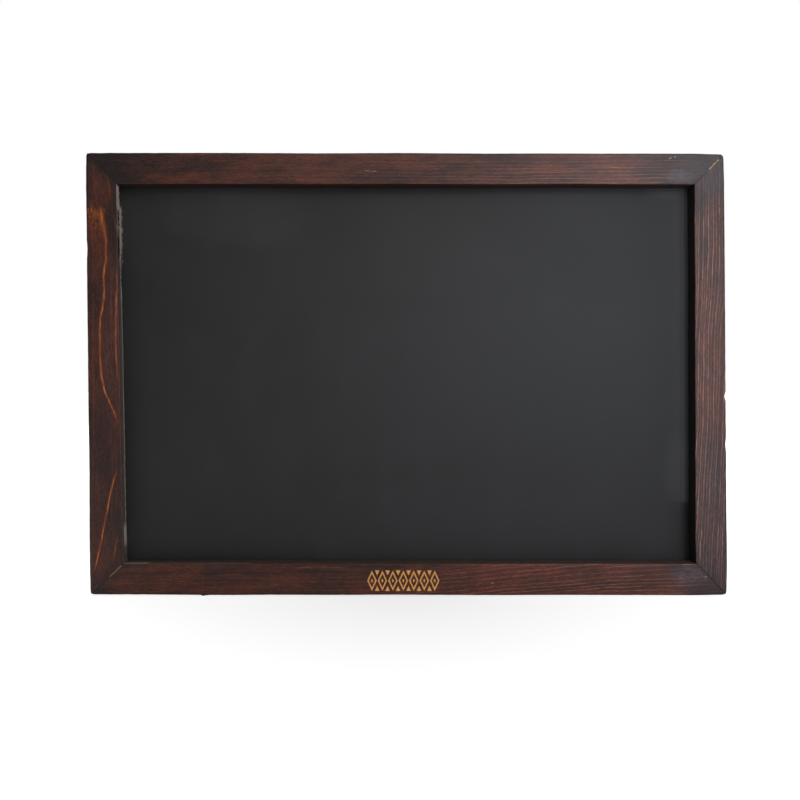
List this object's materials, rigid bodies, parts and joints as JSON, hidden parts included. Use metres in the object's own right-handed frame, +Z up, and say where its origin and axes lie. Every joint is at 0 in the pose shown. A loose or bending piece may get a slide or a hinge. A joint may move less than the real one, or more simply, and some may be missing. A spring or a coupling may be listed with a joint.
{
  "type": "framed chalkboard",
  "caption": "Wall-hung chalkboard: a black writing panel held in a rabbeted, mitred wooden frame, with swinging ring hangers and rubber bumpers on its back.",
  "frame": {"origin": "below the middle of the board's depth, at the centre of its bottom edge", "axes": "+X along the board's length, +Y from its front to the wall behind it, +Z up"},
  "size_m": [0.65, 0.025, 0.45],
  "materials": {
    "stained_pine": "dark red-brown stain on pine, satin, grain and knots showing",
    "chalk_paint": "matte black chalkboard paint on hardboard, faint chalk haze",
    "bare_steel": "blue-grey tempered steel strip",
    "zinc_steel": "bright zinc plate",
    "black_rubber": "matte moulded rubber"
  },
  "bodies": {
    "board": {"top_rail": "stained_pine", "bottom_rail": "stained_pine", "left_stile": "stained_pine", "right_stile": "stained_pine", "writing_panel": "chalk_paint", "v_nail_bottom_left_outer": "bare_steel", "v_nail_bottom_left_inner": "bare_steel", "v_nail_top_left_outer": "bare_steel", "v_nail_top_left_inner": "bare_steel", "v_nail_top_right_outer": "bare_steel", "v_nail_top_right_inner": "bare_steel", "v_nail_bottom_right_outer": "bare_steel", "v_nail_bottom_right_inner": "bare_steel", "point_top_1": "bare_steel", "point_top_2": "bare_steel", "point_top_3": "bare_steel", "point_bottom_1": "bare_steel", "point_bottom_2": "bare_steel", "point_bottom_3": "bare_steel", "point_left_1": "bare_steel", "point_left_2": "bare_steel", "point_right_1": "bare_steel", "point_right_2": "bare_steel", "hanger_strap_left": "zinc_steel", "hanger_strap_right": "zinc_steel", "hanger_screw_left_upper": "zinc_steel", "hanger_screw_left_lower": "zinc_steel", "hanger_screw_right_upper": "zinc_steel", "hanger_screw_right_lower": "zinc_steel", "bumper_left": "black_rubber", "bumper_right": "black_rubber"},
    "left_ring": {"hang_ring_left": "zinc_steel"},
    "right_ring": {"hang_ring_right": "zinc_steel"}
  },
  "joints": [
    {"name": "left_ring_swing", "type": "hinge", "parent": "board", "child": "left_ring", "pos_m": [-0.313, 0.0096, 0.36], "axis": [-1, 0, 0], "range_deg": [0, 180]},
    {"name": "right_ring_swing", "type": "hinge", "parent": "board", "child": "right_ring", "pos_m": [0.313, 0.0096, 0.36], "axis": [-1, 0, 0], "range_deg": [0, 180]}
  ]
}
